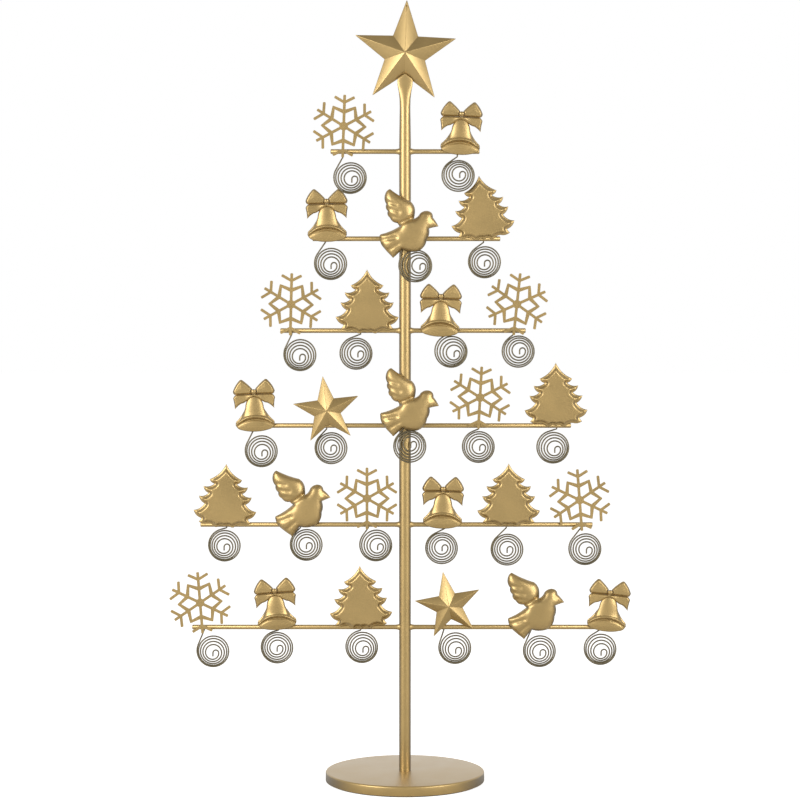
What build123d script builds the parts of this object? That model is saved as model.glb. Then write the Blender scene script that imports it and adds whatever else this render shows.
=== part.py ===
from build123d import *
import os
from math import acos, atan2, ceil, cos, degrees, hypot, pi, radians, sin, sqrt

# Photo tree stand: a round plate carries a tube, six rods run through the tube, and every rod
# carries pressed sheet ornaments in front and a wound wire photo clip below each ornament.
# Millimetres. Origin: centre of the underside. +Z up, the ornaments face -Y.

os.makedirs("parts", exist_ok=True)

# Base plate, the pad under it and its screw
base_diameter = 160.0
base_thickness = 9.8
base_edge_bevel = 1.6
pad_thickness = 1.2
pad_margin = 3.0
screw_diameter = 6.0
screw_reach = 20.0
screw_head_width = 10.0
screw_head_height = 4.0
screw_clearance = 0.3
head_clearance = 1.0
head_cover = 1.0

# Pole and its threaded insert
pole_diameter = 11.8
pole_wall = 1.2
insert_length = 26.0
insert_bore_depth = 20.6
insert_clearance = 0.05
thread_clearance = 0.05

# Flattened top of the pole
neck_rise = 51.0
neck_taper_length = 14.0
tongue_side_length = 5.7
tongue_point_length = 6.3
tongue_width = 15.0
tongue_thickness = 2.4
tongue_overlap = 1.0
topper_seat_gap = 0.5

# Rods: height of each tier, with the left and the right end
rod_diameter = 4.8
rod_hole_clearance = 0.1
rod_hole_sides = 8
tier_heights = (632.5, 546.0, 454.5, 359.5, 260.0, 156.5)
rod_left_ends = (-74.0, -92.0, -124.4, -165.0, -205.0, -213.8)
rod_right_ends = (74.0, 94.8, 120.4, 166.0, 188.0, 217.0)

# Sheets and reliefs of the ornaments
sheet_thickness = 1.0
pressing_wall = 0.9
hollow_share = 0.92

# Topper star and small stars
topper_radius = 53.0
topper_relief = 13.0
topper_lean = -2.0
small_star_radius = 35.0
small_star_relief = 8.5
small_star_lift = 16.0
star_notch_share = 0.4

# Snowflake
snowflake_radius = 31.0
snowflake_lift = 26.5
snowflake_bar = 2.8
snowflake_sheet = 1.5
snowflake_hub_radius = 4.6
snowflake_fork_start = 23.5
snowflake_fork_length = 11.3
snowflake_fork_angle = 62.0
lattice_arm_radius = 14.0
lattice_point_radius = 21.0
lattice_bar_share = 0.75

# Tree
tree_half_width = 31.4
tree_height = 65.0
tree_drop = 4.3
tree_relief = 4.0
tree_panel_shares = (0.86, 0.7)
tree_centre_share = 0.36

# Bell and bow
bell_lip_half_width = 19.5
bell_lip_lift = 6.0
bell_lip_slant = 33.0
bell_crown_lift = 32.5
bell_depth = 8.5
bell_mouth_drop = 2.4
bow_half_width = 20.8
bow_top_lift = 50.0
bow_relief = 3.6
knot_radius = 2.8
knot_lift_share = 0.24
knot_sides = 8

# Dove
dove_half_width = 29.0
dove_lift = 15.0
dove_low_lift = 6.4
dove_body_relief = 5.5
dove_wing_relief = 3.6
dove_panel_shares = (0.95, 0.55)
dove_stud_radius = 3.0

# Wire photo clips
wire_width = 1.3
wire_sides = 3
coil_radius = 16.3
least_first_turn = 30.0
tight_pitch = 6.0
open_pitch = 11.0
half_turns = 2
hook_radius = 3.0
hook_angle = 140.0
hook_tail = 3.4
elbow_radius = 1.5
elbow_drop = 3.6
low_elbow_drop = 5.2
stem_rise = 1.8
wire_seat_gap = 0.05
front_clip_tilt = 12.0

pole_radius = pole_diameter / 2
neck_height = tier_heights[0] + neck_rise
tongue_foot_height = neck_height + neck_taper_length
tongue_shoulder_height = tongue_foot_height + tongue_side_length
tongue_top_height = tongue_shoulder_height + tongue_point_length
topper_height = tongue_top_height - tongue_overlap + topper_radius * star_notch_share
rod_radius = rod_diameter / 2
base_top = pad_thickness + base_thickness
wire_radius = wire_width / (2 * sin(pi / wire_sides))
wire_back_depth = wire_radius * cos(pi / wire_sides)


def front_plane(along, height, back, lean=0.0):
    """Plane of an ornament's back: local x to the right, local y up, normal to the viewer."""
    right = (cos(radians(lean)), 0, sin(radians(lean)))
    return Plane(origin=(along, back, height), x_dir=right, z_dir=(0, -1, 0))


def along_rod(tier, share):
    """Place on a tier's rod, as a share of its reach, negative to the left of the pole."""
    reach = rod_right_ends[tier - 1] if share > 0 else -rod_left_ends[tier - 1]
    return share * reach


def above_rod(tier, share):
    """Height of a place near a tier's rod, as a share of the rod's diameter above its axis."""
    return tier_heights[tier - 1] + share * rod_diameter


def scaled(points, factor, centre=(0.0, 0.0)):
    """The same outline drawn larger or smaller about a centre."""
    return [
        (centre[0] + factor * (x - centre[0]), centre[1] + factor * (y - centre[1]))
        for x, y in points
    ]


def from_shares(shares, width, height):
    """Outline points in millimetres, from shares of a width and a height."""
    return [(x * width, y * height) for x, y in shares]


def mirrored(right_half):
    """A closed outline from its right half, listed from the top to the bottom."""
    left_half = [(-x, y) for x, y in reversed(right_half) if x > 0]
    return right_half + left_half


# Base plate with the recess for the screw head underneath
screw_seat_depth = screw_head_height + head_cover
with BuildPart() as base_disc:
    with BuildSketch(Plane.XY.offset(pad_thickness)):
        Circle(base_diameter / 2)
    extrude(amount=base_thickness)
    top_rim = base_disc.faces().sort_by(Axis.Z)[-1].edges()
    chamfer(top_rim, length=base_edge_bevel)
    with Locations(Plane(origin=(0, 0, pad_thickness), z_dir=(0, 0, -1))):
        CounterBoreHole(
            radius=screw_diameter / 2 + screw_clearance,
            counter_bore_radius=screw_head_width / sqrt(3) + head_clearance,
            counter_bore_depth=screw_seat_depth,
        )
base_disc.part.label = "base_disc"
export_step(base_disc.part, "parts/base_disc.step")

# Soft pad glued under the plate, closing the recess
with BuildPart() as base_pad:
    with BuildSketch():
        Circle(base_diameter / 2 - pad_margin)
    extrude(amount=pad_thickness)
base_pad.part.label = "base_pad"
export_step(base_pad.part, "parts/base_pad.step")

# Hexagon screw, head in the recess, thread up into the insert
screw_seat = pad_thickness + screw_seat_depth
with BuildPart() as base_screw:
    with BuildSketch(Plane.XY.offset(screw_seat - screw_head_height)):
        RegularPolygon(screw_head_width / 2, side_count=6, major_radius=False)
    extrude(amount=screw_head_height)
    with BuildSketch(Plane.XY.offset(screw_seat)):
        Circle(screw_diameter / 2)
    extrude(amount=screw_reach)
base_screw.part.label = "base_screw"
export_step(base_screw.part, "parts/base_screw.step")

# Threaded slug pressed into the foot of the pole
with BuildPart() as pole_insert:
    with BuildSketch(Plane.XY.offset(base_top)):
        Circle(pole_radius - pole_wall - insert_clearance)
    extrude(amount=insert_length)
    with BuildSketch(Plane.XY.offset(base_top)):
        Circle(screw_diameter / 2 + thread_clearance)
    extrude(amount=insert_bore_depth, mode=Mode.SUBTRACT)
pole_insert.part.label = "pole_insert"
export_step(pole_insert.part, "parts/pole_insert.step")

# Pole: a round tube, cross drilled for the rods, its top squeezed to a pointed flat tongue
with BuildPart() as pole:
    with BuildSketch(Plane.XY.offset(base_top)):
        Circle(pole_radius)
    extrude(amount=tongue_foot_height - base_top)
    with BuildSketch(Plane.XY.offset(base_top)):
        Circle(pole_radius - pole_wall)
    extrude(amount=neck_height - base_top - pole_wall, mode=Mode.SUBTRACT)
    for side in (-1, 1):
        with BuildSketch(Plane.YZ):
            with BuildLine():
                Polyline(
                    (side * pole_radius, neck_height),
                    (side * pole_radius, tongue_foot_height),
                    (side * tongue_thickness / 2, tongue_foot_height),
                    close=True,
                )
            make_face()
        extrude(amount=pole_radius, both=True, mode=Mode.SUBTRACT)
    with BuildSketch(Plane.XZ):
        with BuildLine():
            Polyline(
                (-pole_radius, neck_height),
                (pole_radius, neck_height),
                (tongue_width / 2, tongue_foot_height),
                (tongue_width / 2, tongue_shoulder_height),
                (0, tongue_top_height),
                (-tongue_width / 2, tongue_shoulder_height),
                (-tongue_width / 2, tongue_foot_height),
                close=True,
            )
        make_face()
    extrude(amount=tongue_thickness / 2, both=True)
    with BuildSketch(Plane.YZ):
        with Locations(*[(0, height) for height in tier_heights]):
            RegularPolygon(
                rod_radius + rod_hole_clearance, side_count=rod_hole_sides, major_radius=False
            )
    extrude(amount=pole_diameter, both=True, mode=Mode.SUBTRACT)
pole.part.label = "pole"
export_step(pole.part, "parts/pole.step")

# Rods, each one bar that runs through the pole
for number, height in enumerate(tier_heights, start=1):
    left_end = rod_left_ends[number - 1]
    right_end = rod_right_ends[number - 1]
    with BuildPart() as branch_rod:
        with BuildSketch(Plane.YZ.offset(left_end)):
            with Locations((0, height)):
                Circle(rod_radius)
        extrude(amount=right_end - left_end)
    branch_rod.part.label = f"branch_rod_{number}"
    export_step(branch_rod.part, f"parts/branch_rod_{number}.step")


def outline_face(plane, points):
    """Flat face inside a closed outline on a plane."""
    with BuildSketch(plane) as outline:
        with BuildLine():
            Polyline(*points, close=True)
        make_face()
    return outline.sketch.faces()[0]


# Five-point stars: a thin rim and ten facets that rise to one peak, hollow behind
def star_corners(radius):
    """Tips and notches of a five-point star, from the top tip clockwise."""
    corners = []
    for step in range(10):
        reach = radius if step % 2 == 0 else radius * star_notch_share
        corners.append((reach * sin(step * pi / 5), reach * cos(step * pi / 5)))
    return corners


def star_pyramid(plane, corners, relief, mode=Mode.ADD):
    """Raises the star outline to a peak above its centre."""
    peak = plane.offset(relief).origin
    sections = [outline_face(plane, corners), Vertex(peak.X, peak.Y, peak.Z)]
    loft(sections=sections, ruled=True, mode=mode)


def faceted_star(plane, radius, relief):
    """Pressed star whose back lies on the plane."""
    corners = star_corners(radius)
    inner_share = 1 - 2 * pressing_wall / (radius * star_notch_share)
    with BuildPart() as star:
        extrude(outline_face(plane, corners), amount=sheet_thickness)
        star_pyramid(plane.offset(sheet_thickness), corners, relief)
        star_pyramid(plane, scaled(corners, inner_share), relief, mode=Mode.SUBTRACT)
    return star


# The topper's lower notch stands behind the tongue, its two edges touch the tongue's back
topper_slope = topper_relief / (topper_radius * star_notch_share)
topper_seat = tongue_thickness / 2 + topper_seat_gap
topper_back = topper_seat + sheet_thickness + tongue_overlap * topper_slope
topper_plane = front_plane(0, topper_height, topper_back, topper_lean)
topper_star = faceted_star(topper_plane, topper_radius, topper_relief)
topper_star.part.label = "topper_star"
export_step(topper_star.part, "parts/topper_star.step")

# Small stars: tier, share of the rod's reach, lean in degrees, rise in shares of the rod's
# diameter
small_star_place_shares = ((4, -0.4724, 7.1, -0.16), (6, 0.2028, 10.0, 1.25))
for number, (tier, reach_share, lean, rise_share) in enumerate(small_star_place_shares, start=1):
    along = along_rod(tier, reach_share)
    centre_height = above_rod(tier, rise_share) + small_star_lift
    star_plane = front_plane(along, centre_height, -rod_radius, lean)
    small_star = faceted_star(star_plane, small_star_radius, small_star_relief)
    small_star.part.label = f"star_{number}"
    export_step(small_star.part, f"parts/star_{number}.step")


# Snowflakes: flat cut sheet, six forked arms joined by a pointed lattice round the hub
def lattice_outline(growth):
    """The zigzag between the arms, moved outward by a growth."""
    points = []
    for step in range(12):
        reach = lattice_arm_radius if step % 2 == 0 else lattice_point_radius
        reach += growth
        points.append((reach * sin(step * pi / 6), reach * cos(step * pi / 6)))
    return points


def snowflake_outline(plane):
    """Arms, forks, hub and lattice, drawn about the hub."""
    with BuildSketch(plane) as flake:
        with BuildLine():
            Polyline(*lattice_outline(snowflake_bar * lattice_bar_share), close=True)
        make_face()
        with BuildLine():
            Polyline(*lattice_outline(-snowflake_bar * lattice_bar_share), close=True)
        make_face(mode=Mode.SUBTRACT)
        with PolarLocations(0, 6, start_angle=90):
            Rectangle(snowflake_radius, snowflake_bar, align=(Align.MIN, Align.CENTER))
        for side in (-1, 1):
            with PolarLocations(snowflake_fork_start, 6, start_angle=90):
                Rectangle(
                    snowflake_fork_length,
                    snowflake_bar,
                    rotation=side * snowflake_fork_angle,
                    align=(Align.MIN, Align.CENTER),
                )
        RegularPolygon(snowflake_hub_radius, side_count=6)
    return flake.sketch


# Tier, share of the rod's reach, lean in degrees, rise in shares of the rod's diameter
snowflake_place_shares = (
    (1, -0.8351, -2.0, -0.31),
    (3, -0.9184, -1.5, -0.05),
    (3, 0.9032, -6.0, 0.0),
    (4, 0.4431, -3.0, 0.36),
    (5, -0.1856, 0.0, 0.0),
    (5, 0.9407, 4.5, -0.31),
    (6, -0.9518, 4.5, -0.31),
)
for number, (tier, reach_share, lean, rise_share) in enumerate(snowflake_place_shares, start=1):
    along = along_rod(tier, reach_share)
    rod_plane = front_plane(along, above_rod(tier, rise_share), -rod_radius, lean)
    hub_plane = Plane(
        origin=rod_plane.from_local_coords((0, snowflake_lift, 0)),
        x_dir=rod_plane.x_dir,
        z_dir=rod_plane.z_dir,
    )
    with BuildPart() as snowflake:
        extrude(snowflake_outline(hub_plane), amount=snowflake_sheet)
    snowflake.part.label = f"snowflake_{number}"
    export_step(snowflake.part, f"parts/snowflake_{number}.step")


# Trees: pressed sheet with a flat flange along the branches and a raised panel, hollow behind
tree_right_shares = [
    (0.0, 1.0),
    (0.18, 0.855),
    (0.467, 0.756),
    (0.338, 0.713),
    (0.667, 0.65),
    (0.52, 0.537),
    (0.806, 0.5),
    (0.62, 0.34),
    (1.0, 0.267),
    (0.742, 0.13),
    (0.9, 0.09),
    (0.28, 0.045),
    (0.28, 0.0),
]
# Tier, share of the rod's reach, lean in degrees, rise in shares of the rod's diameter
tree_place_shares = (
    (2, 0.8228, 4.0, 0.36),
    (3, -0.3039, 0.0, -0.05),
    (4, 0.9099, 0.5, 0.31),
    (5, -0.8812, -2.0, 0.0),
    (5, 0.5519, 0.0, 0.05),
    (6, -0.2049, 1.0, 0.16),
)
tree_outline = [
    (x, y - tree_drop)
    for x, y in mirrored(from_shares(tree_right_shares, tree_half_width, tree_height))
]
tree_centre = (0.0, tree_height * tree_centre_share - tree_drop)


def frustum(base, peak, cut_plane, mode=Mode.ADD):
    """Sides that rise from a flat face towards a peak, cut off by a plane."""
    spire = loft(sections=[base, Vertex(peak.X, peak.Y, peak.Z)], ruled=True, mode=Mode.PRIVATE)
    split(spire, bisect_by=cut_plane, keep=Keep.BOTTOM, mode=mode)


def panel(plane, outline, centre, shares, relief, mode=Mode.ADD):
    """Flat-topped panel: its foot and its top are the outline drawn smaller by two shares."""
    foot_share, top_share = shares
    foot = outline_face(plane, scaled(outline, foot_share, centre))
    rise = relief * foot_share / (foot_share - top_share)
    frustum(foot, plane.from_local_coords((*centre, rise)), plane.offset(relief), mode)


def raise_panel(plane, outline, centre, shares, relief):
    """Flat sheet in the outline, with a panel pressed up from it."""
    extrude(outline_face(plane, outline), amount=sheet_thickness)
    panel(plane.offset(sheet_thickness), outline, centre, shares, relief)


def hollow_panel(plane, outline, centre, shares, relief):
    """Clears the back of a pressed panel, down to one wall all over."""
    inner_shares = [share * hollow_share for share in shares]
    panel(plane, outline, centre, inner_shares, relief, mode=Mode.SUBTRACT)


for number, (tier, reach_share, lean, rise_share) in enumerate(tree_place_shares, start=1):
    along = along_rod(tier, reach_share)
    tree_plane = front_plane(along, above_rod(tier, rise_share), -rod_radius, lean)
    with BuildPart() as tree:
        raise_panel(tree_plane, tree_outline, tree_centre, tree_panel_shares, tree_relief)
        hollow_panel(tree_plane, tree_outline, tree_centre, tree_panel_shares, tree_relief)
    tree.part.label = f"tree_{number}"
    export_step(tree.part, f"parts/tree_{number}.step")


# Bells: half-round body that flares to an open lip, on a back sheet that closes the mouth,
# with a bow of two loops, two tails and a knot on its crown
bell_profile_shares = [(1.0, 0.0), (0.66, 0.36), (0.55, 0.64), (0.46, 0.87), (0.2, 1.0)]
bell_section_shares = [(-1.0, 0.0), (-0.8, 0.55), (-0.35, 1.0), (0.35, 1.0), (0.8, 0.55), (1.0, 0.0)]
bow_loop_shares = [(0.04, 0.38), (0.6, 1.0), (1.0, 0.36), (0.92, 0.12), (0.06, 0.1)]
bow_tail_shares = [(0.1, 0.16), (0.96, 0.06), (0.92, -0.85), (0.42, -0.34)]
bell_rise = bell_crown_lift - bell_lip_lift
bow_rise = bow_top_lift - bell_crown_lift
# Tier, share of the rod's reach, lean in degrees, rise in shares of the rod's diameter
bell_place_shares = (
    (1, 0.7432, -2.5, -0.16),
    (2, -0.8397, 1.0, 0.0),
    (3, 0.2886, -1.5, -0.6),
    (4, -0.9042, 2.3, -0.62),
    (5, 0.1997, -1.0, -0.21),
    (6, -0.601, 3.2, -0.05),
    (6, 0.932, -5.0, -0.38),
)


def bell_band(plane, lower, upper, shrink=0.0, mode=Mode.ADD):
    """Band of the body between two levels, each a share of the width at a share of the rise."""
    rises = [bell_lip_lift + bell_rise * share for _, share in (lower, upper)]
    widths = [bell_lip_half_width * share - shrink for share, _ in (lower, upper)]
    level = Plane(
        origin=plane.from_local_coords((0, rises[0], sheet_thickness)),
        x_dir=plane.x_dir,
        z_dir=plane.y_dir,
    )
    depth = -(bell_depth * widths[0] / bell_lip_half_width)
    section = outline_face(level, from_shares(bell_section_shares, widths[0], depth))
    height = rises[1] - rises[0]
    peak = level.from_local_coords((0, 0, height * widths[0] / (widths[0] - widths[1])))
    frustum(section, peak, level.offset(height), mode)


for number, (tier, reach_share, lean, rise_share) in enumerate(bell_place_shares, start=1):
    along = along_rod(tier, reach_share)
    bell_plane = front_plane(along, above_rod(tier, rise_share), -rod_radius, lean)
    lip_slant = radians(bell_lip_slant)
    lip_plane = Plane(
        origin=bell_plane.from_local_coords((0, bell_lip_lift, sheet_thickness)),
        x_dir=bell_plane.x_dir,
        z_dir=bell_plane.y_dir * cos(lip_slant) - bell_plane.z_dir * sin(lip_slant),
    )
    with BuildPart() as bell:
        for lower, upper in zip(bell_profile_shares, bell_profile_shares[1:]):
            bell_band(bell_plane, lower, upper)
        split(bisect_by=lip_plane, keep=Keep.TOP)
        bell_band(bell_plane, *bell_profile_shares[:2], shrink=pressing_wall, mode=Mode.SUBTRACT)
        edge = [
            (bell_lip_half_width * width, bell_lip_lift + bell_rise * rise)
            for width, rise in reversed(bell_profile_shares)
        ]
        outline = mirrored(edge + [(0.0, -bell_mouth_drop)])
        extrude(outline_face(bell_plane, outline), amount=sheet_thickness)
        with BuildSketch(bell_plane):
            with Locations((0, bell_crown_lift + bow_rise * knot_lift_share)):
                RegularPolygon(knot_radius, side_count=knot_sides)
        extrude(amount=sheet_thickness + bow_relief)
        for side in (-1, 1):
            for shares, relief in ((bow_loop_shares, bow_relief), (bow_tail_shares, sheet_thickness)):
                points = [
                    (side * x * bow_half_width, bell_crown_lift + y * bow_rise) for x, y in shares
                ]
                extrude(outline_face(bell_plane, points), amount=sheet_thickness + relief)
    bell.part.label = f"bell_{number}"
    export_step(bell.part, f"parts/bell_{number}.step")


# Doves: a rounded body with head and tail, and one raised wing with feathered edge
dove_body_shares = [
    (0.09, 0.53),
    (0.34, 0.83),
    (0.55, 0.88),
    (0.72, 0.74),
    (0.97, 0.44),
    (0.66, 0.29),
    (0.7, 0.1),
    (0.6, -0.35),
    (0.43, -0.56),
    (-0.1, -0.59),
    (-0.34, -0.91),
    (-0.78, -0.61),
    (-0.92, -0.34),
    (-0.9, -0.22),
    (-0.34, 0.17),
]
dove_wing_shares = [
    (-0.2, 0.2),
    (0.09, 0.53),
    (0.06, 0.84),
    (-0.12, 1.07),
    (-0.41, 1.17),
    (-0.95, 1.34),
    (-1.02, 1.16),
    (-0.95, 0.84),
    (-0.85, 0.65),
    (-0.73, 0.46),
    (-0.59, 0.26),
    (-0.34, 0.17),
]
dove_body_centre_share = (-0.05, 0.0)
dove_wing_centre_share = (-0.4, 0.7)
dove_forms = [
    (
        from_shares(shares, dove_half_width, dove_half_width),
        (centre_share[0] * dove_half_width, centre_share[1] * dove_half_width),
        dove_panel_shares,
        relief,
    )
    for shares, centre_share, relief in (
        (dove_body_shares, dove_body_centre_share, dove_body_relief),
        (dove_wing_shares, dove_wing_centre_share, dove_wing_relief),
    )
]
# Tier, share of the rod's reach, lean, rise in shares of the rod's diameter, and True where the
# dove hangs low in front of the pole
dove_place_shares = (
    (2, 0.0343, -12.5, -0.21, True),
    (4, 0.0226, -12.5, 1.46, True),
    (5, -0.4988, 0.0, -0.05, False),
    (6, 0.6032, -2.0, -0.21, False),
)
pole_front_wire = pole_radius + wire_back_depth + wire_seat_gap
pole_front_dove = pole_front_wire + wire_radius + wire_seat_gap

for number, place in enumerate(dove_place_shares, start=1):
    tier, reach_share, lean, rise_share, low = place
    along = along_rod(tier, reach_share)
    centre_height = above_rod(tier, rise_share) + (dove_low_lift if low else dove_lift)
    back = -pole_front_dove if low else -rod_radius
    dove_plane = front_plane(along, centre_height, back, lean)
    with BuildPart() as dove:
        for form in dove_forms:
            raise_panel(dove_plane, *form)
        for form in dove_forms:
            hollow_panel(dove_plane, *form)
        if low:
            stud_depth = dove_body_relief + sheet_thickness / 2
            with BuildSketch(dove_plane.offset(stud_depth)):
                spot = dove_plane.to_local_coords(Vector(0, back, centre_height))
                with Locations((spot.X, spot.Y)):
                    RegularPolygon(dove_stud_radius, side_count=knot_sides)
            extrude(amount=-(stud_depth + pole_front_dove - pole_radius))
    dove.part.label = f"dove_{number}"
    export_step(dove.part, f"parts/dove_{number}.step")


# Wire photo clips: one unbroken wire each, a stem welded to the rod or the pole, an elbow,
# flat turns wound inward to the left, and a hook in the middle
def coil_route(plane, centre, stem_top, elbow_height, tight_angle):
    """Centre line of one clip on its plane; the local origin lies on the rod's axis."""
    elbow = (0.0, elbow_height)
    reach = hypot(elbow[0] - centre[0], elbow[1] - centre[1])
    touch_angle = degrees(
        atan2(elbow[1] - centre[1], elbow[0] - centre[0]) + acos(coil_radius / reach)
    )
    touch = (
        centre[0] + coil_radius * cos(radians(touch_angle)),
        centre[1] + coil_radius * sin(radians(touch_angle)),
    )
    steps = ceil((touch_angle + least_first_turn - tight_angle) / 180)
    first_angle = tight_angle + 180 * steps - touch_angle
    pitches = (tight_pitch, open_pitch) if steps % 2 == 1 else (open_pitch, tight_pitch)
    with BuildLine(plane) as route:
        stem = FilletPolyline((0.0, stem_top), elbow, touch, radius=elbow_radius)
        turn = JernArc(stem @ 1, stem % 1, radius=coil_radius, arc_size=first_angle)
        radius = coil_radius
        for step in range(half_turns):
            radius -= pitches[step % 2] / 2
            turn = JernArc(turn @ 1, turn % 1, radius=radius, arc_size=180)
        hook = JernArc(turn @ 1, turn % 1, radius=hook_radius, arc_size=hook_angle)
        Line(hook @ 1, (hook @ 1) + (hook % 1) * hook_tail)
    return route


def least_gap(wire):
    """Smallest clear distance between stretches of the wire that lie apart along it."""
    count = ceil(wire.length / (wire_width / 2))
    points = [wire.position_at(step / count) for step in range(count + 1)]
    skip = ceil(4 * elbow_radius / (wire.length / count))
    return min(
        (points[i] - points[j]).length
        for i in range(len(points))
        for j in range(i + skip, len(points))
    ) - wire_width


def wound_clip(plane, route):
    """Sweeps the wire's section along its route."""
    with BuildPart() as clip:
        path = route.wires()[0]
        section_plane = Plane(origin=path @ 0, x_dir=plane.x_dir, z_dir=path % 0)
        with BuildSketch(section_plane):
            RegularPolygon(wire_radius, side_count=wire_sides, rotation=90)
        sweep(path=path)
    return clip.part


# For each tier and clip: the stem's share of the rod's reach, then how far the coil's centre
# lies beside and below the elbow in shares of the coil's radius, and the side on which the
# turns lie close together, in degrees
clip_place_shares = (
    (
        (-0.8311, 0.436, 1.313, -60),
        (0.7027, 0.056, 1.196, 60),
    ),
    (
        (-0.8641, 0.338, 1.282, -110),
        (-0.0217, 0.748, 1.429, -30),
        (0.8259, 0.08, 1.178, -120),
    ),
    (
        (-0.9092, 0.509, 1.246, -120),
        (-0.3561, -0.276, 1.178, 180),
        (0.3547, 0.203, 1.043, -60),
        (0.9045, 0.276, 1.067, 180),
    ),
    (
        (-0.9158, 0.448, 1.337, -100),
        (-0.4752, 0.282, 1.166, -130),
        (-0.0121, 0.429, 1.031, -60),
        (0.4446, -0.006, 1.086, -90),
        (0.9151, -0.22, 1.117, -60),
    ),
    (
        (-0.8732, -0.123, 1.074, -130),
        (-0.5122, 0.375, 1.031, -110),
        (-0.1795, 0.466, 1.061, -120),
        (0.2202, -0.27, 1.252, 0),
        (0.541, 0.067, 1.332, 180),
        (0.9394, 0.263, 1.294, -120),
    ),
    (
        (-0.9453, 0.552, 1.282, -120),
        (-0.5949, -0.08, 1.067, -90),
        (-0.2081, 0.073, 1.031, -90),
        (0.1797, 0.699, 1.08, -90),
        (0.5848, 0.534, 1.276, -90),
        (0.9023, 0.056, 1.141, -90),
    ),
)
clips = []
gaps = []
for tier, place_shares in enumerate(clip_place_shares, start=1):
    for reach_share, side_share, depth_share, tight_angle in place_shares:
        stem_place = along_rod(tier, reach_share)
        back = rod_radius + wire_radius + wire_seat_gap
        stem_top = stem_rise
        elbow_height = -elbow_drop
        tilt = 0.0
        if abs(stem_place) < pole_radius:
            back = -pole_front_wire
        if tier == 1:
            back = 0.0
            stem_top = -rod_radius - wire_radius * sin(radians(front_clip_tilt))
            elbow_height = -low_elbow_drop
            tilt = front_clip_tilt
        facing = (0, -cos(radians(tilt)), sin(radians(tilt)))
        stem_origin = (stem_place, back, tier_heights[tier - 1])
        clip_plane = Plane(origin=stem_origin, x_dir=(1, 0, 0), z_dir=facing)
        centre = (side_share * coil_radius, elbow_height - depth_share * coil_radius)
        route = coil_route(clip_plane, centre, stem_top, elbow_height, tight_angle)
        gaps.append(least_gap(route.wires()[0]))
        clips.append(wound_clip(clip_plane, route))
photo_clips = Compound(clips)
photo_clips.label = "photo_clips"
export_step(photo_clips, "parts/photo_clips.step")
print(f"photo clips: {len(clips)}, least gap of a wire to itself {min(gaps):.2f} mm")
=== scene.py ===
from math import acos, atan2, ceil, cos, exp, hypot, pi, radians, sin, sqrt
import bmesh
import bpy
from mathutils import Matrix, Vector, kdtree


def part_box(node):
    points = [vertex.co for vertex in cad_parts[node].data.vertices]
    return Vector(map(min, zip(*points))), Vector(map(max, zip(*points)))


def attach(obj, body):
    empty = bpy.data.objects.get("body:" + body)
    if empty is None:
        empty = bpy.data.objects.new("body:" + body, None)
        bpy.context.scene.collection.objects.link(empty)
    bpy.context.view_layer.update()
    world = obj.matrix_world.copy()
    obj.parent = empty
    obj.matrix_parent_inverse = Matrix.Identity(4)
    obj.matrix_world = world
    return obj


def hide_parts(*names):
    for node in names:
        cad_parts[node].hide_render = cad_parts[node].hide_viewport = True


# A photo tree stand about 0.78 m tall: a round plate, a tube, six cross rods, pressed sheet
# ornaments in front of the rods and wound wire photo clips under them, painted satin gold.
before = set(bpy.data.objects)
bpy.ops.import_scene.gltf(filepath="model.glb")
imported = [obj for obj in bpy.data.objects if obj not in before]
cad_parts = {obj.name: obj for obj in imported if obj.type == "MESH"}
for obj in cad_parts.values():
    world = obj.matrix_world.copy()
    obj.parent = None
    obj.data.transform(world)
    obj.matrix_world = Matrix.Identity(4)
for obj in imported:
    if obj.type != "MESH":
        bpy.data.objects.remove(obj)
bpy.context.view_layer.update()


# Base plate: a round of 10 mm steel plate with its top edge rounded on the lathe, lacquered with
# the stand. The pole is screwed to its middle from below. It stands on a soft pad.
MM = 0.001


def linear(hex_colour):
    """The linear colour of an sRGB hex value."""
    shares = [int(hex_colour[i:i + 2], 16) / 255 for i in (1, 3, 5)]
    return (*[s / 12.92 if s <= 0.04045 else ((s + 0.055) / 1.055) ** 2.4 for s in shares], 1.0)


def add_node(tree, kind, inputs=None, **settings):
    """Adds a node, makes its settings, and sets or links its inputs."""
    node = tree.nodes.new(kind)
    for name, value in settings.items():
        setattr(node, name, value)
    for name, value in (inputs or {}).items():
        if isinstance(value, bpy.types.NodeSocket):
            tree.links.new(value, node.inputs[name])
        else:
            node.inputs[name].default_value = value
    return node


def new_material(name):
    """An empty material with its surface shader, ready for nodes."""
    material = bpy.data.materials.new(name)
    material.use_nodes = True
    tree = material.node_tree
    tree.nodes.clear()
    shader = add_node(tree, "ShaderNodeBsdfPrincipled")
    output = add_node(tree, "ShaderNodeOutputMaterial", {"Surface": shader.outputs["BSDF"]})
    output.is_active_output = True
    return material, tree, shader


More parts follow.
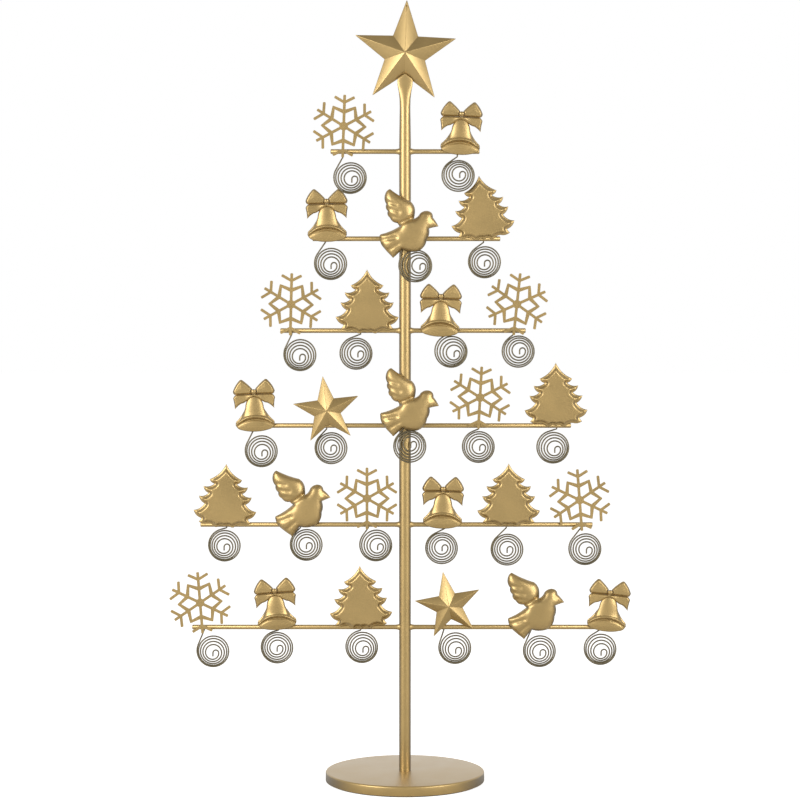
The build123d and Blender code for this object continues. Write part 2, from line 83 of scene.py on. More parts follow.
def satin_gold_lacquer():
    """Champagne gold lacquer: fine brass flake in a clear binder. It is half matt, with slow tone changes
    where the coat is thicker and a faint orange peel of 3 mm. It also carries painted shade: faces that
    turn sideways or down are darkened towards a dark brown."""
    # The third colour is a painted shade, a dark brown mixed in on faces that turn sideways or down
    light, deep, painted_shade_colour = linear("#B79A60"), linear("#A98E56"), linear("#4E4436")
    flow_mm, peel_mm, flake_mm = 26.0, 3.0, 0.8
    # Painted shade: how much a face that looks down counts towards the shade, from where the shade
    # starts, and how much of the dark brown it mixes in at most
    shade_down_share, shade_from, most_shade = 0.8, 0.55, 0.75
    material, tree, shader = new_material("satin_gold_lacquer")
    source = add_node(tree, "ShaderNodeTexCoord")
    place = source.outputs["Object"]
    flow = add_node(
        tree, "ShaderNodeTexNoise", {"Vector": place, "Scale": 1 / (flow_mm * MM), "Detail": 3.0}
    )
    peel = add_node(
        tree, "ShaderNodeTexNoise", {"Vector": place, "Scale": 1 / (peel_mm * MM), "Detail": 2.0}
    )
    flake = add_node(
        tree, "ShaderNodeTexNoise", {"Vector": place, "Scale": 1 / (flake_mm * MM), "Detail": 1.0}
    )
    tone = add_node(
        tree,
        "ShaderNodeMix",
        {"Factor": flow.outputs["Fac"], "A": deep, "B": light},
        data_type="RGBA",
    )
    # Painted shade: the sideways and downward share of the normal darkens the colour towards the dark
    # brown
    faces = add_node(tree, "ShaderNodeSeparateXYZ", {"Vector": source.outputs["Normal"]})
    sideways = add_node(tree, "ShaderNodeMath", {0: faces.outputs["X"]}, operation="ABSOLUTE")
    downward = add_node(
        tree, "ShaderNodeMath", {0: faces.outputs["Z"], 1: -shade_down_share}, operation="MULTIPLY"
    )
    shade_facing = add_node(
        tree,
        "ShaderNodeMath",
        {0: sideways.outputs["Value"], 1: downward.outputs["Value"]},
        operation="MAXIMUM",
    )
    shade_amount = add_node(
        tree,
        "ShaderNodeMapRange",
        {"Value": shade_facing.outputs["Value"], "From Min": shade_from, "To Max": most_shade},
        interpolation_type="SMOOTHSTEP",
    )
    tone_and_shade = add_node(
        tree,
        "ShaderNodeMix",
        {"Factor": shade_amount.outputs["Result"], "A": tone.outputs["Result"], "B": painted_shade_colour},
        data_type="RGBA",
    )
    sparkle = add_node(
        tree,
        "ShaderNodeMapRange",
        {"Value": flake.outputs["Fac"], "From Min": 0.3, "From Max": 0.7, "To Min": 0.97, "To Max": 1.03},
    )
    colour = add_node(
        tree,
        "ShaderNodeHueSaturation",
        {"Color": tone_and_shade.outputs["Result"], "Value": sparkle.outputs["Result"]},
    )
    gloss = add_node(
        tree,
        "ShaderNodeMapRange",
        {"Value": flow.outputs["Fac"], "From Min": 0.3, "From Max": 0.7, "To Min": 0.36, "To Max": 0.46},
    )
    bump = add_node(
        tree,
        "ShaderNodeBump",
        {"Height": peel.outputs["Fac"], "Strength": 0.03, "Distance": 0.2 * MM},
    )
    tree.links.new(colour.outputs["Color"], shader.inputs["Base Color"])
    tree.links.new(gloss.outputs["Result"], shader.inputs["Roughness"])
    tree.links.new(bump.outputs["Normal"], shader.inputs["Normal"])
    shader.inputs["Metallic"].default_value = 0.85
    shader.inputs["Coat Weight"].default_value = 0.8
    shader.inputs["Coat Roughness"].default_value = 0.38
    return material


lacquer = satin_gold_lacquer()


def add_piece(name, bm, material, slot, *nodes, sharp=40.0):
    """Turns a bmesh into a piece of the stand that replaces the CAD nodes named."""
    for face in bm.faces:
        face.smooth = True
    for edge in bm.edges:
        edge.smooth = not edge.is_manifold or edge.calc_face_angle() < radians(sharp)
    mesh = bpy.data.meshes.new(name)
    bm.to_mesh(mesh)
    bm.free()
    mesh.materials.append(material)
    piece = bpy.data.objects.new(name, mesh)
    bpy.context.scene.collection.objects.link(piece)
    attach(piece, "root")
    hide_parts(*nodes)
    return piece


def bevel_edges(bm, edges, width, segments):
    """Rounds edges by a width."""
    bmesh.ops.bevel(
        bm,
        geom=edges,
        offset=width,
        offset_type="OFFSET",
        segments=segments,
        profile=0.5,
        affect="EDGES",
        clamp_overlap=True,
        material=-1,
    )


plate_low, plate_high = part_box("base_disc")
plate_middle = (plate_low + plate_high) / 2
plate_radius = (plate_high.x - plate_low.x) / 2
plate_round, plate_foot_round = 1.9 * MM, 0.5 * MM
bm = bmesh.new()
bmesh.ops.create_cone(
    bm,
    cap_ends=True,
    segments=192,
    radius1=plate_radius,
    radius2=plate_radius,
    depth=plate_high.z - plate_low.z,
    matrix=Matrix.Translation(plate_middle),
)
top_rim = [e for e in bm.edges if all(v.co.z > plate_middle.z for v in e.verts)]
bevel_edges(bm, top_rim, plate_round, segments=6)
foot_rim = [e for e in bm.edges if all(v.co.z < plate_middle.z for v in e.verts)]
bevel_edges(bm, foot_rim, plate_foot_round, segments=2)
add_piece("base_plate", bm, lacquer, "gold_paint", "base_disc")


# Pad, screw and threaded slug: a disc of dense foam rubber glued under the plate, and the zinc
# plated screw and slug that pull the pole down. They are carried over as they were built.
def eva_foam():
    """Closed-cell EVA foam, cut from sheet: charcoal, dull, with cells of about 1 mm."""
    cell_mm = 1.0
    material, tree, shader = new_material("eva_foam")
    place = add_node(tree, "ShaderNodeTexCoord").outputs["Object"]
    cells = add_node(tree, "ShaderNodeTexVoronoi", {"Vector": place, "Scale": 1 / (cell_mm * MM)})
    tone = add_node(tree, "ShaderNodeMix", {"Factor": cells.outputs["Distance"]}, data_type="RGBA")
    tone.inputs["A"].default_value = linear("#2B2A29")
    tone.inputs["B"].default_value = linear("#3A3836")
    bump = add_node(
        tree,
        "ShaderNodeBump",
        {"Height": cells.outputs["Distance"], "Strength": 0.3, "Distance": 0.1 * MM},
    )
    tree.links.new(tone.outputs["Result"], shader.inputs["Base Color"])
    tree.links.new(bump.outputs["Normal"], shader.inputs["Normal"])
    shader.inputs["Roughness"].default_value = 0.85
    return material


def zinc_plate():
    """Bright zinc plating on turned steel: pale grey metal with turning marks, drawn 2.5 mm apart,
    because the real ones are too fine to show."""
    mark_mm = 2.5
    # A wave texture has this many bands in a unit of its scale
    wave_bands = 20 / (2 * pi)
    material, tree, shader = new_material("zinc_plated_steel")
    place = add_node(tree, "ShaderNodeTexCoord").outputs["Object"]
    marks = add_node(
        tree,
        "ShaderNodeTexWave",
        {"Vector": place, "Scale": 1 / (mark_mm * MM * wave_bands), "Distortion": 1.5},
        bands_direction="Z",
    )
    gloss = add_node(
        tree,
        "ShaderNodeMapRange",
        {"Value": marks.outputs["Fac"], "To Min": 0.28, "To Max": 0.4},
    )
    tree.links.new(gloss.outputs["Result"], shader.inputs["Roughness"])
    shader.inputs["Base Color"].default_value = linear("#C9CBCC")
    shader.inputs["Metallic"].default_value = 1.0
    return material


zinc = zinc_plate()
for name, material in (("base_pad", eva_foam()), ("base_screw", zinc), ("pole_insert", zinc)):
    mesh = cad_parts[name].data
    mesh.materials.clear()
    mesh.materials.append(material)


# Pole: a drawn steel tube, squeezed flat at the top into a tongue that spreads to a low point.
# The tongue lies in front of the topper's lower notch and is welded there.
pole_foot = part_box("pole")[0].z
pole_radius = 5.9 * MM
# Height, half width and half depth of the tube's section in millimetres, from the neck up
tongue_sections = (
    (640.0, 5.9, 5.9),
    (662.0, 5.55, 5.5),
    (676.0, 5.3, 4.7),
    (685.0, 5.5, 3.6),
    (692.0, 6.3, 2.3),
    (697.5, 7.4, 1.35),
    (702.6, 7.75, 1.2),
    (704.6, 7.0, 1.2),
    (706.4, 5.0, 1.15),
    (708.0, 2.6, 1.1),
    (709.0, 0.9, 1.0),
)


def extrude_rings(bm, ring, sections, axis):
    """Draws a closed ring of edges on through sections along an axis. A section is (place, first
    half size, second half size), and the ring starts with the sizes of the first section."""
    across = [i for i in range(3) if i != axis]
    last = sections[0]
    for section in sections[1:]:
        grown = bmesh.ops.extrude_edge_only(bm, edges=ring)["geom"]
        ring = [g for g in grown if isinstance(g, bmesh.types.BMEdge)]
        verts = {v for e in ring for v in e.verts}
        centre = sum((v.co for v in verts), Vector()) / len(verts)
        for v in verts:
            v.co[axis] += section[0] - last[0]
            for index, side in enumerate(across, start=1):
                away = v.co[side] - centre[side]
                v.co[side] = centre[side] + away * section[index] / last[index]
        last = section


bm = bmesh.new()
start = Matrix.Translation((0, 0, pole_foot))
bmesh.ops.create_circle(bm, segments=48, radius=pole_radius, matrix=start)
sections = [(pole_foot, pole_radius, pole_radius)]
sections += [(place * MM, half * MM, deep * MM) for place, half, deep in tongue_sections]
extrude_rings(bm, bm.edges[:], sections, axis=2)
bmesh.ops.holes_fill(bm, edges=[e for e in bm.edges if e.is_boundary], sides=0)
bmesh.ops.recalc_face_normals(bm, faces=bm.faces[:])
add_piece("pole_tube", bm, lacquer, "gold_paint", "pole", sharp=60)


# Cross rods: solid steel bars pushed through the drilled tube and welded on both sides, where
# the filler swells them towards the tube. Their ends are cropped and slightly rounded.
rod_count, rod_radius, rod_end_round = 6, 2.4 * MM, 0.5 * MM
# Weld collar: distance from the pole's axis in millimetres, and how much thicker than the rod
# it is there
weld_collar = ((5.0, 1.5), (6.3, 1.28), (7.6, 1.1), (9.8, 1.0))
rod_heights = []
for number in range(1, rod_count + 1):
    low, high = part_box(f"branch_rod_{number}")
    height = (low.z + high.z) / 2
    rod_heights.append(height)
    end_radius = rod_radius - rod_end_round
    steps = [(low.x, end_radius), (low.x + rod_end_round, rod_radius)]
    steps += [(-away * MM, rod_radius * thicker) for away, thicker in reversed(weld_collar)]
    steps += [(away * MM, rod_radius * thicker) for away, thicker in weld_collar]
    steps += [(high.x - rod_end_round, rod_radius), (high.x, end_radius)]
    bm = bmesh.new()
    start = Matrix.Translation((low.x, 0, height)) @ Matrix.Rotation(pi / 2, 4, "Y")
    bmesh.ops.create_circle(bm, segments=24, radius=end_radius, matrix=start)
    extrude_rings(bm, bm.edges[:], [(place, size, size) for place, size in steps], axis=0)
    bmesh.ops.holes_fill(bm, edges=[e for e in bm.edges if e.is_boundary], sides=0)
    bmesh.ops.recalc_face_normals(bm, faces=bm.faces[:])
    add_piece(f"cross_rod_{number}", bm, lacquer, "gold_paint", f"branch_rod_{number}", sharp=50)


# Topper and small stars: discs of sheet steel pressed to ten facets that rise to one peak. The
# ridges are a little rounded by the tool, the hollow behind stays open.
def merged_copy(node):
    """A bmesh of a CAD node's mesh with its loose triangles joined to flat faces."""
    same_point, same_plane = 0.002 * MM, radians(1)
    bm = bmesh.new()
    bm.from_mesh(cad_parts[node].data)
    bmesh.ops.remove_doubles(bm, verts=bm.verts[:], dist=same_point)
    bmesh.ops.dissolve_limit(
        bm,
        angle_limit=same_plane,
        verts=bm.verts[:],
        edges=bm.edges[:],
        use_dissolve_boundaries=False,
    )
    return bm


star_ridge, star_blunting, least_tip_gap = 0.55 * MM, 0.8 * MM, 10 * MM
small_star_ridge = 0.7 * star_ridge
least_ridge_angle = radians(8)
star_pieces = (
    ("topper_star", "top_star", star_ridge),
    ("star_1", "small_star_1", small_star_ridge),
    ("star_2", "small_star_2", small_star_ridge),
)
for node, piece, ridge in star_pieces:
    bm = merged_copy(node)
    peak = min(bm.verts, key=lambda v: v.co.y).co.copy()
    # The five tips are the outermost corners that lie well apart
    outermost = sorted(bm.verts, key=lambda v: -hypot(v.co.x - peak.x, v.co.z - peak.z))
    tips = []
    for place in [v.co.copy() for v in outermost]:
        if len(tips) < 5 and all((place - tip).length > least_tip_gap for tip in tips):
            tips.append(place)
    ridges = [e for e in bm.edges if e.is_manifold and e.calc_face_angle() > least_ridge_angle]
    bevel_edges(bm, ridges, ridge, segments=3)
    for tip in tips:
        outward = Vector((tip.x - peak.x, 0.0, tip.z - peak.z)).normalized()
        cut = bmesh.ops.bisect_plane(
            bm,
            geom=bm.verts[:] + bm.edges[:] + bm.faces[:],
            plane_co=tip - outward * star_blunting,
            plane_no=outward,
            clear_outer=True,
        )["geom_cut"]
        rim = [g for g in cut if isinstance(g, bmesh.types.BMEdge)]
        bmesh.ops.holes_fill(bm, edges=rim, sides=0)
    add_piece(piece, bm, lacquer, "gold_paint", node, sharp=35)

# The topper has a small drilled mark near its upper tip. The drill is a cone whose middle lies
# on the surface, so it is twice as wide and as long as the mark.
mark_radius, mark_depth, mark_below_tip = 1.15 * MM, 1.1 * MM, 5.4 * MM
far_in_front, inward = -1.0, (0, 1, 0)
top_star = bpy.data.objects["top_star"]
top_tip = max((v.co for v in top_star.data.vertices), key=lambda place: place.z)
drill_start = Vector((top_tip.x, far_in_front, top_tip.z - mark_below_tip))
_, mark_place, _, _ = top_star.ray_cast(drill_start, inward)
bm = bmesh.new()
bmesh.ops.create_cone(
    bm,
    cap_ends=True,
    segments=24,
    radius1=0,
    radius2=2 * mark_radius,
    depth=2 * mark_depth,
    matrix=Matrix.Translation(mark_place) @ Matrix.Rotation(pi / 2, 4, "X"),
)
drill_mesh = bpy.data.meshes.new("drill")
bm.to_mesh(drill_mesh)
bm.free()
drill = bpy.data.objects.new("drill", drill_mesh)
bpy.context.scene.collection.objects.link(drill)
drilling = top_star.modifiers.new("drilling", "BOOLEAN")
drilling.operation = "DIFFERENCE"
drilling.solver = "EXACT"
drilling.object = drill
view_layer_state = bpy.context.evaluated_depsgraph_get()
drilled = bpy.data.meshes.new_from_object(top_star.evaluated_get(view_layer_state))
top_star.modifiers.clear()
top_star.data = drilled
bpy.data.objects.remove(drill)
bpy.data.meshes.remove(drill_mesh)


# Snowflakes: 1.5 mm sheet cut by laser, then tumbled, so the bars end round and every edge is
# softened. The lower arm is welded to the front of the rod with a drop of filler at each side.
bar_round, face_round, level_within = 1.25 * MM, 0.4 * MM, 0.1 * MM
least_post_share, least_post_angle, least_rim_angle = 0.9, radians(50), radians(80)
bead_radius, bead_form, bead_side, bead_rise = 1.7 * MM, (1.5, 0.6, 0.8), 2.3 * MM, 0.3 * rod_radius
# Tier, and place of the foot along the rod in millimetres
snowflake_feet = ((1, -61.8), (3, -114.3), (3, 108.7), (4, 73.6), (5, -38.0), (5, 176.9), (6, -203.5))


def runs_through_sheet(edge):
    """Whether an edge runs from the front to the back at an outer corner."""
    run = (edge.verts[0].co - edge.verts[1].co).normalized()
    return abs(run.y) > least_post_share and edge.calc_face_angle_signed() > least_post_angle


def bounds_a_face(edge):
    """Whether an edge lies in the front or the back face, along its rim."""
    level = abs((edge.verts[0].co - edge.verts[1].co).y) < level_within
    return level and edge.calc_face_angle() > least_rim_angle


for number, (tier, foot) in enumerate(snowflake_feet, start=1):
    node = f"snowflake_{number}"
    bm = merged_copy(node)
    posts = [e for e in bm.edges if e.is_manifold and runs_through_sheet(e)]
    bevel_edges(bm, posts, bar_round, segments=4)
    rims = [e for e in bm.edges if e.is_manifold and bounds_a_face(e)]
    bevel_edges(bm, rims, face_round, segments=2)
    add_piece(f"cut_snowflake_{number}", bm, lacquer, "gold_paint", node, sharp=40)
    bm = bmesh.new()
    for side in (-1, 1):
        drop = bmesh.ops.create_icosphere(bm, subdivisions=3, radius=bead_radius)["verts"]
        bmesh.ops.scale(bm, vec=bead_form, verts=drop)
        where = (foot * MM + side * bead_side, -rod_radius, rod_heights[tier - 1] + bead_rise)
        bmesh.ops.translate(bm, vec=where, verts=drop)
    add_piece(f"weld_bead_{number}", bm, lacquer, "gold_paint", node)


# Trees: 0.9 mm sheet steel blanked to drooping branches, then pressed so that a flat panel stands
# 3.4 mm proud of a narrow flange with a rolled edge. It is open behind and welded to its rod.
def curved_outline(corners, grain):
    """Points round an outline. A corner is (x, z, bulge of the side after it, a share of its
    length, to the outside where the outline runs clockwise)."""
    points = []
    for (x, z, bulge), (next_x, next_z, _) in zip(corners, corners[1:] + corners[:1]):
        side = Vector((next_x - x, next_z - z))
        count = max(1, ceil(side.length / grain))
        for step in range(count):
            along = step / count
            out = 4 * bulge * along * (1 - along)
            points.append((x + side.x * along - side.y * out, z + side.y * along + side.x * out))
    return points


def mirrored_outline(right_half):
    """A clockwise outline from its right half, from the top to the bottom on the middle line."""
    left_half = []
    for (_, _, bulge), (x, z, _) in reversed(list(zip(right_half[:-1], right_half[1:]))):
        left_half.append((-x, z, bulge))
    return right_half[:-1] + left_half


def sheet_blank(corners, grain):
    """A flat sheet in millimetres inside an outline, in even triangles, so that it presses
    without wrinkles: long edges are split, close points joined, and the points spread out."""
    longest, closest, rounds = 1.4 * grain, 0.55 * grain, 18
    bm = bmesh.new()
    rim = [bm.verts.new((x, 0, z)) for x, z in curved_outline(corners, grain)]
    for first, second in zip(rim, rim[1:] + rim[:1]):
        bm.edges.new((first, second))
    bmesh.ops.triangle_fill(bm, edges=bm.edges[:], use_beauty=True)
    for _ in range(rounds):
        long_edges = [e for e in bm.edges if e.calc_length() > longest and not e.is_boundary]
        bmesh.ops.subdivide_edges(bm, edges=long_edges, cuts=1)
        inner = [v for v in bm.verts if not v.is_boundary]
        bmesh.ops.remove_doubles(bm, verts=inner, dist=closest)
        bmesh.ops.triangulate(bm, faces=bm.faces[:])
        inside = [e for e in bm.edges if not e.is_boundary]
        bmesh.ops.beautify_fill(bm, faces=bm.faces[:], edges=inside)
        inner = [v for v in bm.verts if not v.is_boundary]
        bmesh.ops.smooth_vert(bm, verts=inner, factor=0.5, use_axis_x=True, use_axis_z=True)
    return bm


def press(bm, corners, height_at, passes=2):
    """Lifts every point of a blank by height_at(x, z, distance to the rim), towards the viewer,
    and lets the sheet flow a little."""
    rim_step = 0.25
    rim = curved_outline(corners, rim_step)
    tree = kdtree.KDTree(len(rim))
    for index, (x, z) in enumerate(rim):
        tree.insert((x, 0, z), index)
    tree.balance()
    for v in bm.verts:
        distance = tree.find(v.co)[2]
        v.co.y = -height_at(v.co.x, v.co.z, 0.0 if v.is_boundary else distance)
    inner = [v for v in bm.verts if not v.is_boundary]
    for _ in range(passes):
        bmesh.ops.smooth_vert(bm, verts=inner, factor=0.5, use_axis_y=True)


def ease(value):
    """Smooth step from 0 to 1."""
    value = min(max(value, 0.0), 1.0)
    return value * value * (3 - 2 * value)


def set_on_rod(bm, place, back):
    """Moves a form drawn in millimetres to its rod: place is (tier, x, rise, lean) in millimetres
    and degrees, back the distance of the form's back from the rods' middle line."""
    tier, along, rise, lean = place
    turn = Matrix.Rotation(radians(-lean), 3, "Y")
    bmesh.ops.rotate(bm, cent=(0, 0, 0), matrix=turn, verts=bm.verts[:])
    bmesh.ops.translate(bm, vec=(along, back, rise), verts=bm.verts[:])
    bmesh.ops.scale(bm, vec=(MM, MM, MM), verts=bm.verts[:])
    bmesh.ops.translate(bm, vec=(0, 0, rod_heights[tier - 1]), verts=bm.verts[:])


def face_the_viewer(bm):
    """Turns the faces of an open sheet to the front."""
    bmesh.ops.recalc_face_normals(bm, faces=bm.faces[:])
    if sum(f.normal.y for f in bm.faces) > 0:
        bmesh.ops.reverse_faces(bm, faces=bm.faces[:])


def add_sheet(name, source, place, back, node):
    """Sets a copy of a pressed sheet on its rod and gives it its thickness."""
    bm = source.copy()
    set_on_rod(bm, place, back)
    face_the_viewer(bm)
    piece = add_piece(name, bm, lacquer, "gold_paint", node, sharp=80)
    thicken = piece.modifiers.new("wall", "SOLIDIFY")
    thicken.thickness = sheet_wall * MM
    thicken.offset = -1.0


# All sizes of the pressed ornaments are in millimetres
sheet_wall, ornament_back = 0.9, -2.4
tree_flange_height, tree_flange, tree_ramp, tree_relief, tree_grain = 1.0, 1.8, 2.8, 3.4, 0.55
tree_roll, tree_roll_width, ramp_steepness = 0.7, 0.9, 1.8
# Right half of the tree from its tip down: x, height above the rod, bulge of the next side
tree_half = [
    (0.0, 61.0, -0.1),
    (16.2, 45.2, 0.14),
    (11.3, 40.8, -0.13),
    (22.2, 38.2, 0.14),
    (17.0, 31.2, -0.13),
    (26.4, 28.2, 0.12),
    (20.6, 20.6, -0.12),
    (31.4, 13.8, 0.14),
    (23.4, 5.8, -0.06),
    (26.0, 2.2, 0.12),
    (16.6, 0.6, -0.12),
    (9.2, -2.8, 0.1),
    (4.6, -1.4, -0.1),
    (0.0, -2.4, 0.0),
]
# Tier, place along the rod, rise and lean of each tree
tree_places = (
    (2, 78.7, 1.7, 5.0),
    (3, -37.8, 0.0, 0.0),
    (4, 151.0, 2.0, 0.5),
    (5, -180.8, 0.2, -2.0),
    (5, 103.8, 0.7, 0.0),
    (6, -43.8, 1.3, 1.5),
)


def tree_height(x, z, distance):
    """Edge rolled back, flat flange, a ramp that is steep at its foot, flat panel."""
    roll = tree_roll * (1 - ease(distance / tree_roll_width))
    climb = min(max((distance - tree_flange) / tree_ramp, 0.0), 1.0)
    return tree_flange_height - roll + tree_relief * (1 - (1 - climb) ** ramp_steepness)


pressed_tree = sheet_blank(mirrored_outline(tree_half), tree_grain)
press(pressed_tree, mirrored_outline(tree_half), tree_height, passes=3)
for number, place in enumerate(tree_places, start=1):
    add_sheet(f"pressed_tree_{number}", pressed_tree, place, ornament_back, f"tree_{number}")
pressed_tree.free()


# Bells: sheet pressed to a half-round bell whose lip stands over a shallow mouth. A bow of one
# long ribbon, two loops and a button for the knot is fixed over the crown.
bell_grain = 0.5
# The lip is an arch: its half width, the heights of its ends and of its top
bell_lip_half, bell_lip_foot, bell_lip_top = 19.5, 4.0, 11.2
# The body: its depth at the lip, its half width above the flare, how much the flare adds at its
# foot, how fast that fades, and from where its crown is round
bell_depth, bell_neck, bell_flare, flare_fading = 8.5, 9.0, 10.2, 4.6
flare_foot, bell_crown, round_from, round_length = 5.0, 33.0, 0.5, 0.54
least_half, side_clearance = 0.5, 0.6
# Height, distance from the lip and half width of the bead and of the crease along it
lip_bead, bead_above, bead_width = 1.1, 1.3, 0.9
lip_crease, crease_below, crease_width = 1.0, 2.2, 1.1
# The mouth, and the step from it up to the body
mouth_rise, mouth_foot, mouth_length = 2.0, -4.0, 7.0
step_below, step_length = 1.7, 2.3
bell_edge, bell_edge_rise, bell_edge_width = 0.4, 0.6, 0.8
# Tier, place along the rod, rise and lean of each bell
bell_places = (
    (1, 54.5, -0.3, -2.5),
    (2, -77.3, 0.0, 1.0),
    (3, 34.8, -2.9, -1.5),
    (4, -149.4, -2.8, 2.3),
    (5, 37.5, -0.8, -1.0),
    (6, -128.0, 0.5, 4.2),
    (6, 201.7, -1.1, -6.0),
)
# Right half of the bell from its crown down
bell_half = [
    (0.0, 33.6, 0.06),
    (4.4, 31.4, 0.08),
    (8.6, 25.2, 0.03),
    (9.2, 21.6, -0.05),
    (11.4, 16.8, -0.05),
    (18.9, 7.6, 0.08),
    (19.5, 3.8, 0.14),
    (13.4, -1.3, 0.04),
    (0.0, -3.1, 0.0),
]


def bell_width(z):
    """Half width of the body at a height, from the lip up."""
    rise = min(max((z - flare_foot) / (bell_crown - flare_foot), 0.0), 1.0)
    flare = bell_flare * exp(-rise * flare_fading)
    crown = sqrt(max(0.0, 1 - max(0.0, (rise - round_from) / round_length) ** 2))
    return max((bell_neck + flare) * crown, least_half)


def swell(away, half_width):
    """A smooth hump: 1 in its middle, about a third at its half width."""
    return exp(-((away / half_width) ** 2))


def bell_height(x, z, distance):
    """Half-round body down to the arched lip, a bead along the lip, a crease, the mouth below."""
    arch = 1 - (x / bell_lip_half) ** 2
    lip = bell_lip_foot + (bell_lip_top - bell_lip_foot) * arch
    over_lip = z - lip
    half = bell_width(max(z, lip))
    round_share = sqrt(max(0.0, 1 - min(abs(x) / (half + side_clearance), 1.0) ** 2))
    body = bell_depth * (half / bell_lip_half) * round_share
    bead = lip_bead * swell(over_lip - bead_above, bead_width) * ease(round_share * 3)
    crease = lip_crease * swell(over_lip + crease_below, crease_width)
    mouth = (mouth_rise * ease((z - mouth_foot) / mouth_length) - crease) * arch
    on_body = ease((over_lip + step_below) / step_length)
    edge = bell_edge + ease(distance / bell_edge_width) * bell_edge_rise
    return edge + (body + bead) * on_body + mouth * (1 - on_body)


# Right loop of the bow, clockwise from the knot, and the left one, turned round so that it too
# runs clockwise
loop_corners = [
    (1.6, 40.0, 0.03),
    (11.4, 49.2, 0.1),
    (13.6, 49.0, 0.06),
    (20.9, 37.8, 0.12),
    (19.2, 34.5, 0.0),
    (1.6, 34.7, 0.0),
]
left_loop_corners = [
    (-x, z, bulge)
    for (x, z, _), (_, _, bulge) in zip(loop_corners[::-1], loop_corners[-2::-1] + loop_corners[-1:])
]
# Right half of the ribbon whose two ends hang beside the crown
ribbon_half = [
    (0.0, 36.4, 0.0),
    (3.0, 35.0, 0.0),
    (17.8, 34.7, 0.08),
    (21.0, 31.0, -0.03),
    (19.6, 20.0, -0.05),
    (13.0, 25.4, 0.06),
    (9.4, 26.6, 0.03),
    (4.4, 30.2, 0.04),
    (0.0, 32.6, 0.0),
]
# Loops and ribbon: height of the edge, rise of the panel above it and width of the slope between
# them, then the crown of the loops and the ribbon's slant and lift over the bell
loop_edge_height, loop_relief, loop_slope_width = 2.6, 2.6, 1.8
loop_crowning, crowning_start, crowning_width = 0.5, 2.0, 5.0
ribbon_edge_height, ribbon_relief, ribbon_slope_width, ribbon_slant = 0.8, 1.7, 1.5, 0.05
crown_lift, crown_lift_half, crown_lift_top, crown_lift_length = 2.6, 6.0, 36.0, 3.0
knot_radius, knot_form, knot_place = 2.5, (1.05, 0.8, 0.95), (0, -5.6, 37.4)


def loop_height(x, z, distance):
    """Panel with a narrow sloped edge and a slight crown."""
    panel = loop_relief * ease(distance / loop_slope_width)
    crowning = loop_crowning * ease((distance - crowning_start) / crowning_width)
    return loop_edge_height + panel + crowning


def ribbon_height(x, z, distance):
    """Low ribbon that dips towards the knot and rises over the crown between its ends."""
    panel = ribbon_relief * ease(distance / ribbon_slope_width)
    over_crown = crown_lift * swell(x, crown_lift_half) * ease((crown_lift_top - z) / crown_lift_length)
    return ribbon_edge_height + panel + ribbon_slant * abs(x) + over_crown


pressed_bell = sheet_blank(mirrored_outline(bell_half), bell_grain)
press(pressed_bell, mirrored_outline(bell_half), bell_height)
bow = bmesh.new()
for corners, height_at in (
    (mirrored_outline(ribbon_half), ribbon_height),
    (loop_corners, loop_height),
    (left_loop_corners, loop_height),
):
    strip = sheet_blank(corners, bell_grain)
    press(strip, corners, height_at)
    face_the_viewer(strip)
    mesh = bpy.data.meshes.new("ribbon")
    strip.to_mesh(mesh)
    strip.free()
    bow.from_mesh(mesh)
    bpy.data.meshes.remove(mesh)
knot = bmesh.new()
bmesh.ops.create_uvsphere(knot, u_segments=24, v_segments=14, radius=knot_radius)
bmesh.ops.scale(knot, vec=knot_form, verts=knot.verts[:])
bmesh.ops.translate(knot, vec=knot_place, verts=knot.verts[:])
for number, place in enumerate(bell_places, start=1):
    add_sheet(f"pressed_bell_{number}", pressed_bell, place, ornament_back, f"bell_{number}")
    add_sheet(f"bell_bow_{number}", bow, place, ornament_back, f"bell_{number}")
    bm = knot.copy()
    set_on_rod(bm, place, ornament_back)
    add_piece(f"bow_knot_{number}", bm, lacquer, "gold_paint", f"bell_{number}")
for form in (pressed_bell, bow, knot):
    form.free()


# Doves: sheet pressed to a full round body with a raised wing, soft grooves between the
# feathers, open behind. Two hang low in front of the pole, two are welded to their rods.
dove_grain, dove_rounds, dove_fullness, dove_back_edge = 0.8, 380, 1.0, 0.5
dove_smoothing, groove_fade = 9, 2.0
low_dove_back = -7.13
# Tier, place along the rod, rise of the dove's middle, lean, and where its back lies
dove_places = (
    (2, 3.0, 5.2, -11.5, low_dove_back),
    (4, 3.5, 13.6, -12.5, low_dove_back),
    (5, -102.8, 14.8, -0.5, ornament_back),
    (6, 130.9, 14.2, -3.5, ornament_back),
)
# The dove clockwise from the wing's tip, about the point where it hangs
dove_corners = [
    (-27.5, 38.8, 0.12),
    (-26.0, 39.4, -0.03),
    (-3.6, 31.4, 0.1),
    (2.2, 24.0, 0.03),
    (2.8, 15.6, -0.1),
    (7.6, 21.6, 0.12),
    (14.6, 25.8, 0.22),
    (21.0, 20.4, 0.03),
    (28.0, 13.2, 0.2),
    (27.0, 12.4, -0.02),
    (19.6, 9.0, 0.1),
    (19.4, -2.0, 0.14),
    (12.8, -15.6, 0.08),
    (-2.6, -16.8, 0.0),
    (-9.6, -26.6, 0.12),
    (-11.4, -25.4, 0.02),
    (-22.4, -17.4, 0.08),
    (-26.8, -9.4, 0.2),
    (-26.4, -6.2, -0.04),
    (-9.6, 5.4, 0.0),
    (-12.6, 8.0, 0.16),
    (-20.6, 11.6, 0.18),
    (-24.2, 17.8, 0.16),
    (-27.0, 24.4, 0.12),
    (-30.0, 33.6, 0.1),
]
